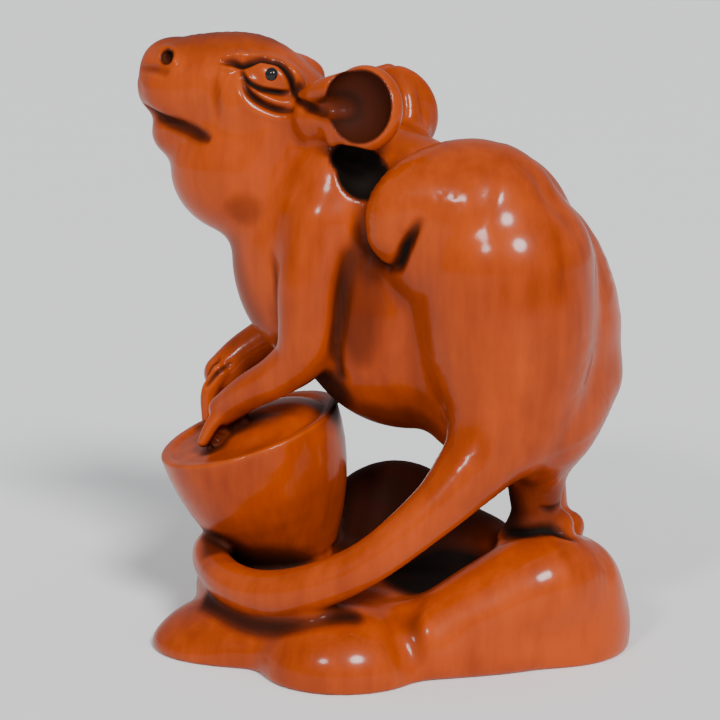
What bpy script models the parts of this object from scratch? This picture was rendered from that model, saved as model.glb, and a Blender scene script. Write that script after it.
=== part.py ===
"""A boxwood netsuke: a rat on a rocky base, with its forepaws on the top of a small filled tub.

The rat looks along -X, its left side is towards -Y, and the underside is flat at z = 0.
"""
import math

import bmesh
import bpy
import numpy as np
from mathutils import Euler, Matrix, Vector

# Sizes in metres. Each one can be set by itself.
FIGURE_HEIGHT = 0.0500
BASE_LENGTH = 0.0352
BASE_WIDTH = 0.0190
BASE_RISE = 0.0054
TUB_RIM_DIAMETER = 0.0151
TUB_FOOT_DIAMETER = 0.0083
TUB_HEIGHT = 0.0109
TUB_RIM_WIDTH = 0.0008
TUB_RIM_DEPTH = 0.0004
EYE_BEAD_DIAMETER = 0.0013
BEAD_CLEARANCE = 0.0003

# The carved forms are given in fiftieths of the figure's height, from the middle of the underside.
SHARE = FIGURE_HEIGHT / 50.0
# The rocks are given in the same way, as shares of the base's own length, width and rise.
ALONG = BASE_LENGTH / 35.2
ACROSS = BASE_WIDTH / 19.0
UPWARD = BASE_RISE / 5.4

# How finely the carving is faceted.
REMESH_STEP = 0.00055
CARVING_TRIANGLES = 7300
TUB_SIDES = 44

BASE_TURN = 15.0
TUB_TOP_CENTRE = Vector((-12.85, -0.9, 16.7)) * SHARE
TUB_LEAN = Euler((math.radians(9.0), math.radians(-15.5), 0.0))
EYE_PLACE = Vector((-9.6, -4.15, 45.45)) * SHARE
EAR_TURN = Euler((math.radians(74.0), math.radians(-13.0), 0.0))
# Each ear's centre and three radii: -1 is the left ear and 1 the right one, which lies lower.
EAR_PLACES = {-1: Vector((-1.7, -6.0, 43.1)) * SHARE, 1: Vector((-1.8, 5.5, 42.2)) * SHARE}
EAR_RADII = {-1: Vector((3.0, 3.35, 1.6)) * SHARE, 1: Vector((3.1, 3.75, 1.7)) * SHARE}


def soft_union(first, second, width):
    """Join two distance fields with a rounded inner corner."""
    near = np.maximum(width - np.abs(first - second), 0.0) / width
    return np.minimum(first, second) - near * near * width / 4.0


def smooth_line(stations, steps):
    """Run a Catmull-Rom line through stations of (x, y, z, radius)."""
    given = np.array(stations, float)
    ends = np.vstack([2 * given[0] - given[1], given, 2 * given[-1] - given[-2]])
    line = []
    for index in range(len(given) - 1):
        a, b, c, d = ends[index:index + 4]
        for t in np.linspace(0.0, 1.0, steps, endpoint=False):
            bend = (2 * a - 5 * b + 4 * c - d) * t * t + (3 * b - a - 3 * c + d) * t ** 3
            line.append(0.5 * (2 * b + (c - a) * t + bend))
    line.append(given[-1])
    return np.array(line)


def place_in(collection, name, data):
    """Make an object of a mesh or a curve and link it into a collection."""
    thing = bpy.data.objects.new(name, data)
    collection.objects.link(thing)
    return thing


def evaluated(thing):
    """A new mesh of the object as its modifiers leave it."""
    bpy.context.view_layer.update()
    graph = bpy.context.evaluated_depsgraph_get()
    return bpy.data.meshes.new_from_object(thing.evaluated_get(graph))


def ball_mesh(name, radius, sides, rings, place=Matrix()):
    """A sphere's mesh, moved and stretched by a matrix."""
    shape = bmesh.new()
    bmesh.ops.create_uvsphere(shape, u_segments=sides, v_segments=rings, radius=radius, matrix=place)
    mesh = bpy.data.meshes.new(name)
    shape.to_mesh(mesh)
    shape.free()
    mesh.shade_smooth()
    return mesh


class Mass:
    """An ellipsoid of wood: its centre, its three radii and its turn in degrees."""

    def __init__(self, centre, radii, turn=(0.0, 0.0, 0.0), scale=(SHARE, SHARE, SHARE)):
        self.centre = Vector(c * s for c, s in zip(centre, scale))
        self.radii = Vector(r * s for r, s in zip(radii, scale))
        self.rotation = Euler([math.radians(angle) for angle in turn]).to_matrix()

    def body(self):
        """A mesh of the whole ellipsoid."""
        shape = self.rotation.to_4x4() @ Matrix.Diagonal((*self.radii, 1.0))
        return ball_mesh("mass", 1.0, 32, 18, Matrix.Translation(self.centre) @ shape)

    def reach(self, points):
        """How far each point is from the ball that holds the form."""
        return np.linalg.norm(points - np.array(self.centre), axis=1) - max(self.radii)

    def distance(self, points):
        local = (points - np.array(self.centre)) @ np.array(self.rotation)
        radii = np.array(self.radii)
        inner = np.linalg.norm(local / radii, axis=1)
        outer = np.linalg.norm(local / radii ** 2, axis=1)
        return inner * (inner - 1.0) / np.maximum(outer, 1e-9)


class Limb:
    """A round tapering form along a smooth line of (x, y, z, radius) stations."""

    def __init__(self, *stations, steps=6):
        self.line = smooth_line(stations, steps) * SHARE

    def body(self):
        """A mesh of the tube along the line, with a ball at each end."""
        curve = bpy.data.curves.new("limb", "CURVE")
        curve.dimensions = "3D"
        curve.bevel_depth = 1.0
        curve.bevel_resolution = 3
        curve.use_fill_caps = True
        spline = curve.splines.new("POLY")
        spline.points.add(len(self.line) - 1)
        for point, (x, y, z, radius) in zip(spline.points, self.line):
            point.co = (x, y, z, 1.0)
            point.radius = radius
        tube = place_in(bpy.context.scene.collection, "limb", curve)
        joined = bmesh.new()
        joined.from_mesh(evaluated(tube))
        for x, y, z, radius in (self.line[0], self.line[-1]):
            joined.from_mesh(ball_mesh("limb_end", radius, 16, 10, Matrix.Translation((x, y, z))))
        mesh = bpy.data.meshes.new("limb")
        joined.to_mesh(mesh)
        joined.free()
        bpy.data.objects.remove(tube)
        return mesh

    def reach(self, points):
        """How far each point is from the ball that holds the form."""
        middle = (self.line[:, :3].min(axis=0) + self.line[:, :3].max(axis=0)) / 2.0
        held = (np.linalg.norm(self.line[:, :3] - middle, axis=1) + self.line[:, 3]).max()
        return np.linalg.norm(points - middle, axis=1) - held

    def distance(self, points):
        nearest = np.full(len(points), 1.0)
        for start, end in zip(self.line[:-1], self.line[1:]):
            span = end[:3] - start[:3]
            length = max(float(span @ span), 1e-14)
            slope = start[3] - end[3]
            side = max(length - slope * slope, 1e-16)
            offset = points - start[:3]
            run = offset @ span
            past = run - length
            across = ((offset * length - run[:, None] * span) ** 2).sum(axis=1)
            limit = np.sign(slope) * slope * slope * across
            cone = (np.sqrt(across * side / length) + run * slope) / length - start[3]
            at_start = np.sqrt(across + run * run * length) / length - start[3]
            at_end = np.sqrt(across + past * past * length) / length - end[3]
            cone = np.where(np.sign(run) * side * run * run * length < limit, at_start, cone)
            cone = np.where(np.sign(past) * side * past * past * length > limit, at_end, cone)
            np.minimum(nearest, cone, out=nearest)
        return nearest


def base_mass(centre, radii):
    """A form of the rocky base, which follows the base's own length, width and rise."""
    return Mass(centre, radii, (0.0, 0.0, BASE_TURN), (ALONG, ACROSS, UPWARD))


def base_ridge(*stations):
    """A long rounded rock, whose line follows the base's own length, width and rise."""
    return Limb(*[(x * ALONG / SHARE, y * ACROSS / SHARE, z * UPWARD / SHARE, radius * UPWARD / SHARE)
                  for x, y, z, radius in stations])


def mirrored(stations):
    """The same stations on the rat's other side."""
    return [(x, -y, z, radius) for x, y, z, radius in stations]


def tub_axis():
    """The direction from the tub's foot to its rim."""
    return TUB_LEAN.to_matrix() @ Vector((0.0, 0.0, 1.0))


def base_forms():
    """The rocks: a low slab with rounded lobes, a hump behind, and a footing with the tub's core."""
    foot = TUB_TOP_CENTRE - tub_axis() * TUB_HEIGHT
    footing = Mass((0.0, 0.0, 0.0), (1.0, 1.0, 1.0), (0.0, 0.0, BASE_TURN))
    footing.centre = Vector((foot.x, foot.y, 0.0018))
    footing.radii = Vector((0.0028 + 0.5 * TUB_FOOT_DIAMETER, 0.0023 + 0.5 * TUB_FOOT_DIAMETER, foot.z - 0.0015))
    waist = foot + tub_axis() * TUB_HEIGHT / 3.0
    core = Limb((*(foot / SHARE), (0.5 * TUB_FOOT_DIAMETER - 0.0003) / SHARE),
                (*(waist / SHARE), (0.25 * (TUB_FOOT_DIAMETER + TUB_RIM_DIAMETER) - 0.0006) / SHARE))
    mound = Mass((0.0, 0.0, 0.0), (1.0, 1.0, 1.0))
    mound.centre = TUB_TOP_CENTRE + TUB_LEAN.to_matrix() @ Vector((0.13, 0.0, -0.08)) * TUB_RIM_DIAMETER
    mound.radii = Vector((0.31, 0.31, 0.17)) * TUB_RIM_DIAMETER
    mound.rotation = TUB_LEAN.to_matrix()
    return [
        (base_mass((0.0, -2.5, 1.2), (17.4, 9.5, 4.2)), 0.1),
        (base_mass((-12.7, -6.4, 0.4), (6.3, 5.5, 2.6)), 2.0),
        (base_mass((-2.2, -10.4, 0.8), (6.3, 5.6, 4.6)), 1.5),
        (base_mass((12.2, 1.2, 1.5), (6.2, 6.8, 7.4)), 1.5),
        (base_mass((-2.5, 7.2, 2.9), (7.8, 3.8, 9.7)), 2.5),
        (base_mass((3.6, 6.6, 1.6), (6.4, 4.2, 7.3)), 2.0),
        (base_ridge((4.0, -8.2, 2.6, 3.0), (8.6, -5.2, 4.6, 3.8), (12.2, -3.0, 6.1, 4.1),
                    (14.0, -0.5, 5.5, 3.6)), 1.5),
        (footing, 2.0),
        (core, 0.3),
        (mound, 0.3),
    ]


def body_forms():
    """The rat's trunk, from the rump to the shoulders."""
    back = Limb((-4.0, 0.0, 38.0, 4.5), (1.0, 0.0, 35.5, 5.0), (5.5, 0.0, 33.0, 5.2),
                (8.8, 0.0, 30.8, 5.6), (9.6, 0.0, 26.0, 6.8))
    return [
        (Mass((8.1, 0.0, 25.8), (8.9, 8.5, 11.2)), 2.0),
        (back, 2.0),
        (Mass((6.2, -4.6, 33.6), (7.3, 5.6, 7.2)), 1.2),
        (Mass((5.4, 4.2, 32.2), (7.4, 5.5, 7.4)), 1.5),
        (Mass((0.5, 0.0, 26.4), (9.4, 7.2, 9.1)), 1.0),
        (Mass((-12.9, 0.0, 37.7), (6.3, 5.5, 5.4)), 1.5),
        (Mass((-7.2, 0.0, 31.0), (6.9, 5.9, 8.9)), 1.8),
        (Mass((-4.6, -3.0, 34.3), (4.6, 3.8, 6.5)), 1.5),
        (Mass((-4.6, 3.0, 34.3), (4.6, 3.8, 6.5)), 1.5),
    ]


def head_forms():
    """The raised head: skull, snout, lips, jaw and the swelling round each eye."""
    skull = Limb((-10.4, 0.0, 41.8, 4.8), (-12.8, 0.0, 43.8, 4.65), (-15.8, 0.0, 44.4, 4.1),
                 (-18.2, 0.0, 44.7, 3.4))
    return [
        (skull, 2.0),
        (Mass((-19.6, 0.0, 45.7), (2.1, 1.8, 2.1)), 1.0),
        (Mass((-18.9, 0.0, 43.9), (3.0, 2.9, 2.3)), 1.0),
        (Mass((-17.2, 0.0, 40.6), (3.7, 3.1, 2.6)), 1.0),
        (Mass((-10.0, -3.0, 45.0), (2.6, 1.45, 1.7)), 0.8),
        (Mass((-10.0, 3.0, 45.0), (2.6, 1.45, 1.7)), 0.8),
    ]


def ear_forms(side):
    """One round ear with its root and its front fold; side is -1 for the left and 1 for the right."""
    shell = Mass((0.0, 0.0, 0.0), (1.0, 1.0, 1.0))
    shell.centre = EAR_PLACES[side]
    shell.radii = EAR_RADII[side]
    shell.rotation = Euler((-side * EAR_TURN.x, EAR_TURN.y, 0.0)).to_matrix()
    root = Limb((-6.0, side * 3.8, 42.2, 2.0), (-3.4, side * 5.0, 42.3, 1.6))
    fold = Limb((-6.4, side * 4.7, 43.5, 0.8), (-4.6, side * 5.8, 44.2, 1.0), (-3.0, side * 6.3, 44.8, 1.0))
    return [(root, 1.0), (shell, 0.6), (fold, 0.6)]


def neck_fold():
    """The fold that runs from the right ear down into the neck."""
    return [(Limb((-1.0, 4.6, 41.0, 1.5), (-0.2, 3.2, 39.6, 1.7), (0.4, 1.0, 38.4, 1.8)), 1.0)]


def limb_forms():
    """The hind legs with their knees and feet, and both forelegs."""
    near_knee = [(7.3, -5.0, 35.0, 5.3), (3.5, -6.2, 36.2, 3.7), (1.5, -7.4, 35.6, 2.6), (0.9, -8.0, 34.0, 1.8)]
    far_knee = [(6.6, -4.6, 33.6, 5.0), (3.3, -5.8, 34.6, 3.6), (1.4, -6.8, 34.0, 2.5), (0.9, -7.2, 32.4, 1.8)]
    near_leg = Limb((11.2, -3.5, 19.0, 4.2), (11.3, -2.5, 15.8, 2.7), (11.1, -1.8, 13.1, 2.1),
                    (11.2, -1.4, 10.4, 1.9), (11.4, -1.4, 5.0, 2.0), (11.4, -1.4, 1.5, 2.0))
    far_leg = Limb((9.5, 5.0, 25.0, 5.4), (10.1, 4.6, 18.0, 3.8), (10.2, 4.3, 14.0, 2.4),
                   (10.6, 4.4, 11.0, 2.0), (11.2, 4.4, 5.0, 2.0), (11.2, 4.4, 1.5, 2.0))
    near_arm = Limb((-5.3, -4.2, 34.0, 3.3), (-6.0, -5.2, 29.5, 2.85), (-6.2, -5.6, 26.0, 2.5),
                    (-6.9, -5.6, 23.8, 2.1), (-9.0, -5.2, 22.0, 1.7), (-11.8, -4.4, 20.3, 1.45),
                    (-14.2, -3.3, 18.3, 1.3), (-15.0, -3.0, 17.0, 1.0))
    far_arm = Limb((-6.0, 4.2, 34.0, 3.2), (-7.5, 5.4, 29.0, 2.8), (-8.5, 5.6, 26.2, 2.4),
                   (-11.5, 4.6, 24.0, 1.9), (-14.6, 3.6, 22.0, 1.6), (-16.3, 2.7, 20.0, 1.7),
                   (-16.2, 1.8, 17.6, 1.4))
    return [
        (Limb(*near_knee), 1.5),
        (Limb(*mirrored(far_knee)), 1.5),
        (near_leg, 1.2),
        (far_leg, 1.2),
        (Limb((11.0, -1.4, 10.4, 1.8), (12.8, -1.2, 10.3, 1.3)), 0.6),
        (Limb((10.9, 4.4, 8.8, 1.8), (12.8, 4.5, 8.7, 1.3)), 0.6),
        (Limb((11.0, -1.5, 10.3, 1.8), (9.8, -1.8, 9.6, 1.3), (9.0, -2.0, 9.2, 0.95)), 0.6),
        (Limb((11.0, 4.4, 8.9, 1.8), (9.4, 4.4, 8.2, 1.4), (8.1, 4.4, 7.5, 1.1)), 0.6),
        (near_arm, 0.8),
        (far_arm, 0.8),
    ]


def tail_forms():
    """The thigh that sweeps down into the tail, round the front of the tub and behind it."""
    tail = Limb((8.8, -4.5, 31.0, 7.0), (9.3, -5.0, 26.0, 6.7), (9.6, -5.9, 21.8, 5.1), (8.7, -7.8, 18.3, 3.4),
                (7.0, -9.6, 15.8, 2.55), (4.75, -11.0, 13.3, 2.0), (0.4, -12.2, 9.6, 1.7), (-4.2, -12.4, 7.2, 1.8),
                (-8.7, -11.1, 6.05, 1.75), (-12.4, -8.5, 6.1, 1.6), (-15.2, -4.1, 6.6, 1.45),
                (-15.8, 0.5, 6.5, 1.3), (-13.5, 4.8, 6.2, 1.15), (-9.5, 6.6, 6.0, 0.95), steps=8)
    root = Limb((14.6, 0.0, 22.0, 2.6), (13.0, -2.5, 20.0, 3.4), (10.6, -5.2, 19.3, 3.6))
    ledge = Limb((-4.2, -11.2, 4.6, 2.0), (-8.7, -9.8, 3.6, 1.9), (-12.4, -7.4, 3.6, 1.7), (-15.0, -3.6, 4.0, 1.5),
                 (-15.4, 0.5, 4.0, 1.4), (-13.0, 4.6, 4.0, 1.3), (-9.5, 6.2, 4.0, 1.2))
    return [(tail, 0.6), (root, 2.0), (ledge, 0.8)]


def carving_distance(forms, points):
    """The blended distance to all the forms, in metres, negative inside the wood."""
    total = np.full(len(points), 1.0)
    for form, blend in forms:
        width = blend * SHARE
        near = form.reach(points) < total + width
        if near.any():
            total[near] = soft_union(total[near], form.distance(points[near]), width)
    return total


def settle(forms, mesh):
    """Move a mesh's vertices onto the blended surface of the forms."""
    points = np.empty(len(mesh.vertices) * 3)
    mesh.vertices.foreach_get("co", points)
    points = points.reshape(-1, 3)
    step = 0.00002
    for _ in range(5):
        here = carving_distance(forms, points)
        slope = np.stack([carving_distance(forms, points + step * axis) - here for axis in np.eye(3)], axis=1) / step
        steep = np.maximum((slope ** 2).sum(axis=1), 0.25)
        move = np.clip(here / steep, -0.0004, 0.0004)
        points -= move[:, None] * slope
    mesh.vertices.foreach_set("co", points.ravel())
    mesh.update()


def remeshed(name, mesh, collection):
    """Run a voxel remesh over a mesh, so that overlapping forms become one skin."""
    rough = place_in(collection, name, mesh)
    skin = rough.modifiers.new("One skin", "REMESH")
    skin.mode = "VOXEL"
    skin.voxel_size = REMESH_STEP * FIGURE_HEIGHT / 0.05
    result = evaluated(rough)
    bpy.data.objects.remove(rough)
    return result


def make_carving(collection):
    """The rat and the rocks as one blended skin, without the tub."""
    forms = base_forms() + body_forms() + head_forms() + limb_forms() + tail_forms()
    forms += ear_forms(-1) + ear_forms(1) + neck_fold()
    shapes = bmesh.new()
    for form, _ in forms:
        shapes.from_mesh(form.body())
    mesh = bpy.data.meshes.new("boxwood_carving")
    shapes.to_mesh(mesh)
    shapes.free()
    for _ in range(2):
        mesh = remeshed("carving_forms", mesh, collection)
        settle(forms, mesh)
    rough = place_in(collection, "carving_skin", mesh)
    fewer = rough.modifiers.new("Fewer facets", "DECIMATE")
    fewer.ratio = min(1.0, CARVING_TRIANGLES / (2.0 * len(mesh.polygons)))
    mesh = evaluated(rough)
    bpy.data.objects.remove(rough)
    mesh.name = "boxwood_carving"
    return place_in(collection, "boxwood_carving", mesh)


def make_tub(collection):
    """The turned tub, filled almost to its rim, with a low mound on top. It is joined to the carving."""
    rim = TUB_RIM_DIAMETER / 2.0
    foot = TUB_FOOT_DIAMETER / 2.0
    fill = rim - TUB_RIM_WIDTH
    bulge = [(0.0, 0.0), (0.14, 0.25), (0.28, 0.47), (0.42, 0.66), (0.57, 0.81), (0.72, 0.92), (0.86, 0.98), (1.0, 1.0)]
    top = [(0.0, -TUB_RIM_DEPTH), (fill - 0.0002, -TUB_RIM_DEPTH), (fill, 0.0)]
    wall = [(foot + (rim - foot) * out, TUB_HEIGHT * (up - 1.0)) for up, out in reversed(bulge)]
    outline = top + wall + [(foot, -TUB_HEIGHT - 0.0006), (0.0, -TUB_HEIGHT - 0.0006)]
    profile = bmesh.new()
    corners = [profile.verts.new((radius, 0.0, height)) for radius, height in outline]
    for first, second in zip(corners, corners[1:]):
        profile.edges.new((first, second))
    mesh = bpy.data.meshes.new("tub")
    profile.to_mesh(mesh)
    profile.free()
    tub = place_in(collection, "tub_profile", mesh)
    spin = tub.modifiers.new("Turned", "SCREW")
    spin.steps = TUB_SIDES
    spin.render_steps = TUB_SIDES
    spin.use_merge_vertices = True
    spin.merge_threshold = 0.00001
    mesh = evaluated(tub)
    bpy.data.objects.remove(tub)
    turned = place_in(collection, "tub_join", mesh)
    turned.location = TUB_TOP_CENTRE
    turned.rotation_euler = TUB_LEAN
    return turned


def ball(collection, name, radius, place, sides=16, rings=10):
    """A sphere as its own object."""
    sphere = place_in(collection, name, ball_mesh(name, radius, sides, rings))
    sphere.location = place
    return sphere


def ear_hollow(collection, side):
    """The scoop that hollows an ear."""
    scoop = ball(collection, "ear_hollow_cutter", 1.0, (0.0, 0.0, 0.0), 24, 14)
    scoop.scale = EAR_RADII[side] * 0.8
    scoop.scale.z = 1.75 * SHARE
    scoop.rotation_euler = Euler((-side * EAR_TURN.x, EAR_TURN.y, 0.0))
    out = scoop.rotation_euler.to_matrix() @ Vector((0.0, 0.0, 1.35 * SHARE))
    scoop.location = EAR_PLACES[side] + out
    return scoop


def underside_cutter(collection):
    """The block that takes off everything below the flat underside."""
    block = bmesh.new()
    depth = 0.5 * FIGURE_HEIGHT
    size = 2.0 * max(FIGURE_HEIGHT, BASE_LENGTH, BASE_WIDTH)
    shape = Matrix.Translation((0.0, 0.0, -depth / 2.0)) @ Matrix.Diagonal((size, size, depth, 1.0))
    bmesh.ops.create_cube(block, size=1.0, matrix=shape)
    mesh = bpy.data.meshes.new("underside_cutter")
    block.to_mesh(mesh)
    block.free()
    return place_in(collection, "underside_cutter", mesh)


def ear_pit(collection, side):
    """The scoop that deepens the hollow of the neck under an ear."""
    scoop = ball(collection, "ear_pit_cutter", 1.0, (0.0, 0.0, 0.0), 16, 10)
    scoop.scale = Vector((1.7, 1.7, 2.3)) * SHARE
    scoop.rotation_euler = Euler((0.0, math.radians(-25.0), 0.0))
    scoop.location = Vector((-1.8, side * 5.9, 38.5)) * SHARE
    return scoop


def knee_notch(collection):
    """The small nick where the knee folds over the flank, as a short fat wedge."""
    wedge = ball(collection, "knee_notch_cutter", 1.0, (0.0, 0.0, 0.0), 16, 10)
    wedge.scale = Vector((0.6, 1.5, 2.6)) * SHARE
    wedge.rotation_euler = Euler((0.0, math.radians(28.0), 0.0))
    wedge.location = Vector((2.1, -10.2, 32.2)) * SHARE
    return wedge


def combine(target, other, operation):
    """Add an exact Boolean to the target."""
    change = target.modifiers.new(other.name, "BOOLEAN")
    change.operation = operation
    change.solver = "EXACT"
    change.object = other
    other.display_type = "WIRE"
    other.hide_render = True


def finish(name, colour, roughness, coat):
    """A Principled material."""
    material = bpy.data.materials.new(name)
    material.use_nodes = True
    shader = material.node_tree.nodes["Principled BSDF"]
    shader.inputs["Base Color"].default_value = (*colour, 1.0)
    shader.inputs["Roughness"].default_value = roughness
    shader.inputs["Metallic"].default_value = 0.0
    shader.inputs["Coat Weight"].default_value = coat
    return material


def main():
    for thing in list(bpy.data.objects):
        bpy.data.objects.remove(thing)
    model = bpy.data.collections.new("rat_netsuke")
    cutters = bpy.data.collections.new("rat_netsuke_cutters")
    bpy.context.scene.collection.children.link(model)
    bpy.context.scene.collection.children.link(cutters)

    carving = make_carving(model)
    combine(carving, make_tub(cutters), "UNION")
    combine(carving, underside_cutter(cutters), "DIFFERENCE")
    for side in (-1, 1):
        combine(carving, ear_hollow(cutters, side), "DIFFERENCE")
        combine(carving, ear_pit(cutters, side), "DIFFERENCE")
    combine(carving, knee_notch(cutters), "DIFFERENCE")
    carving.data.materials.clear()
    carving.data.materials.append(finish("polished_boxwood", (0.46, 0.13, 0.025), 0.28, 0.4))

    black = finish("black_inlay", (0.01, 0.008, 0.007), 0.12, 0.6)
    for name, side in (("left_eye_inlay", -1), ("right_eye_inlay", 1)):
        place = Vector((EYE_PLACE.x, -side * EYE_PLACE.y, EYE_PLACE.z))
        bead = ball(model, name, EYE_BEAD_DIAMETER / 2.0, place)
        bead.data.materials.append(black)
        socket = ball(cutters, name + "_socket_cutter", EYE_BEAD_DIAMETER / 2.0 + BEAD_CLEARANCE, place)
        combine(carving, socket, "DIFFERENCE")


main()
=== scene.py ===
"""A polished boxwood netsuke: a rat leaning its forepaws on a small filled tub.

The carving's skin starts from the solid of the frame, is laid with fine faces and is then
pulled onto a blended form that holds the finer cuts: eyelids, ears, nostrils, mouth, fingers and
toes. Lengths inside the carving classes are in millimetres.
"""
import logging
import math
from dataclasses import dataclass, field
from enum import Enum
from typing import Any, Sequence

import bmesh
import bpy
import numpy as np
from mathutils import Euler, Matrix, Vector


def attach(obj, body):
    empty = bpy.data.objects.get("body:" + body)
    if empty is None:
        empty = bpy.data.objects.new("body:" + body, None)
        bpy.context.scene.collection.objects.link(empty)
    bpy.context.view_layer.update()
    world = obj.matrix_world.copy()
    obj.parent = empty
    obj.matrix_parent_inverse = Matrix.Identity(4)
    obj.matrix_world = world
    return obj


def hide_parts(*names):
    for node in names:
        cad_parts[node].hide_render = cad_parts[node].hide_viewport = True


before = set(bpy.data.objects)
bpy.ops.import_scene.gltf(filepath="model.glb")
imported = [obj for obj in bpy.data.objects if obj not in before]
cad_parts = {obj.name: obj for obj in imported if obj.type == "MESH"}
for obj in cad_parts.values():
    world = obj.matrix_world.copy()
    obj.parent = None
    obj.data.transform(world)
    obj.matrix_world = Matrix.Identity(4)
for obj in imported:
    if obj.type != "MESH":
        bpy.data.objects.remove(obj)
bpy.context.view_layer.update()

MM = 0.001
FAR = 1e9
TINY = 1e-9
TINIER = 1e-12
LEAST_SLOPE = 0.2
Triple = tuple[float, float, float]
Station = tuple[float, float, float, float]
log = logging.getLogger("netsuke")


class Side(Enum):
    """The two sides of the rat."""

    LEFT = -1
    RIGHT = 1


class Touch(Enum):
    """Whether a form adds wood or takes it away."""

    ADD = 1
    CUT = -1


def turned_about(turn: Triple) -> np.ndarray:
    """Make a rotation from three angles.

    Args:
        turn: Angles about X, Y and Z, in degrees.

    Returns:
        The 3 by 3 rotation.
    """
    return np.array(Euler([math.radians(angle) for angle in turn]).to_matrix())


def smooth_line(stations: Sequence[Sequence[float]], steps: int) -> np.ndarray:
    """Run a Catmull-Rom line through stations.

    Args:
        stations: Points, each with any further values after its place.
        steps: Spans between one station and the next.

    Returns:
        The points of the line, one a row.
    """
    given = np.array(stations, float)
    ends = np.vstack([2 * given[0] - given[1], given, 2 * given[-1] - given[-2]])
    line = []
    for index in range(len(given) - 1):
        a, b, c, d = ends[index:index + 4]
        for t in np.linspace(0.0, 1.0, steps, endpoint=False):
            bend = (2 * a - 5 * b + 4 * c - d) * t * t + (3 * b - a - 3 * c + d) * t ** 3
            line.append(0.5 * (2 * b + (c - a) * t + bend))
    line.append(given[-1])
    return np.array(line)


def nearest_on_line(points: np.ndarray, line: np.ndarray,
                    reach: float = 0.0) -> tuple[np.ndarray, np.ndarray]:
    """Find where points lie along a line.

    Args:
        points: Places, one a row.
        line: Line points with further values after the first three.
        reach: How much of the fourth value is taken off a distance when spans are compared.

    Returns:
        Each point's distance to the line and the line's further values there.
    """
    rows = 20000
    near = np.zeros(len(points), int)
    for start in range(0, len(points), rows):
        block = points[start:start + rows]
        gap = np.linalg.norm(block[:, None, :] - line[None, :, :3], axis=2)
        if reach:
            gap = gap - reach * line[None, :, 3]
        near[start:start + rows] = gap.argmin(axis=1)
    best = np.full(len(points), FAR)
    values = np.zeros((len(points), line.shape[1] - 3))
    for shift in (-1, 0):
        first = np.clip(near + shift, 0, len(line) - 2)
        a, b = line[first], line[first + 1]
        span = b[:, :3] - a[:, :3]
        share = ((points - a[:, :3]) * span).sum(axis=1) / np.maximum((span ** 2).sum(axis=1), TINIER)
        share = np.clip(share, 0.0, 1.0)[:, None]
        there = a + (b - a) * share
        gap = np.linalg.norm(points - there[:, :3], axis=1)
        closer = gap < best
        best[closer] = gap[closer]
        values[closer] = there[closer, 3:]
    return best, values


@dataclass(frozen=True)
class Mass:
    """An ellipsoid of wood."""

    centre: Triple
    radii: Triple
    turn: Triple = (0.0, 0.0, 0.0)

    def reach(self, points: np.ndarray) -> np.ndarray:
        """Give how far points are from the ball round the form."""
        return np.linalg.norm(points - np.array(self.centre), axis=1) - max(self.radii)

    def distance(self, points: np.ndarray) -> np.ndarray:
        """Give the signed distance of points, negative inside."""
        local = (points - np.array(self.centre)) @ turned_about(self.turn)
        radii = np.array(self.radii)
        inner = np.linalg.norm(local / radii, axis=1)
        outer = np.linalg.norm(local / radii ** 2, axis=1)
        return inner * (inner - 1.0) / np.maximum(outer, TINY)

    def mirrored(self) -> "Mass":
        """Give the same form on the rat's other side."""
        x, y, z = self.centre
        a, b, c = self.turn
        return Mass((x, -y, z), self.radii, (-a, b, -c))


@dataclass(frozen=True)
class Limb:
    """A round form that tapers along a smooth line of stations with radii."""

    stations: tuple[Station, ...]
    steps: int = 6

    def line(self) -> np.ndarray:
        """Give the line's points and radii."""
        return smooth_line(self.stations, self.steps)

    def reach(self, points: np.ndarray) -> np.ndarray:
        """Give how far points are from the ball round the form."""
        line = self.line()
        middle = (line[:, :3].min(axis=0) + line[:, :3].max(axis=0)) / 2.0
        held = (np.linalg.norm(line[:, :3] - middle, axis=1) + line[:, 3]).max()
        return np.linalg.norm(points - middle, axis=1) - held

    def distance(self, points: np.ndarray) -> np.ndarray:
        """Give the signed distance of points, negative inside."""
        gap, values = nearest_on_line(points, self.line(), 1.0)
        return gap - values[:, 0]

    def mirrored(self) -> "Limb":
        """Give the same form on the rat's other side."""
        return Limb(tuple((x, -y, z, r) for x, y, z, r in self.stations), self.steps)


@dataclass(frozen=True)
class Turned:
    """A form turned on a lathe: an outline of radius and height about a leaning axis."""

    place: Triple
    lean: Triple
    outline: tuple[tuple[float, float], ...]
    rounding: float = 0.12

    def reach(self, points: np.ndarray) -> np.ndarray:
        """Give how far points are from the ball round the form."""
        outline = np.array(self.outline)
        middle = outline[:, 1].mean()
        held = np.hypot(outline[:, 0], outline[:, 1] - middle).max() + self.rounding
        centre = np.array(self.place) + turned_about(self.lean) @ np.array((0.0, 0.0, middle))
        return np.linalg.norm(points - centre, axis=1) - held

    def distance(self, points: np.ndarray) -> np.ndarray:
        """Give the signed distance of points, negative inside."""
        local = (points - np.array(self.place)) @ turned_about(self.lean)
        flat = np.stack([np.hypot(local[:, 0], local[:, 1]), local[:, 2]], axis=1)
        corners = np.array(self.outline)
        best = np.full(len(points), FAR)
        inside = np.zeros(len(points), bool)
        for a, b in zip(corners, np.roll(corners, -1, axis=0)):
            edge = b - a
            if a[0] > TINY or b[0] > TINY:
                share = np.clip((flat - a) @ edge / max(float(edge @ edge), TINIER), 0.0, 1.0)
                best = np.minimum(best, np.linalg.norm(flat - a - share[:, None] * edge, axis=1))
            if a[1] != b[1]:
                crossing = a[0] + (flat[:, 1] - a[1]) / (b[1] - a[1]) * edge[0]
                inside ^= ((a[1] > flat[:, 1]) != (b[1] > flat[:, 1])) & (flat[:, 0] < crossing)
        return np.where(inside, -best, best) - self.rounding


Form = Mass | Limb | Turned


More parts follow.
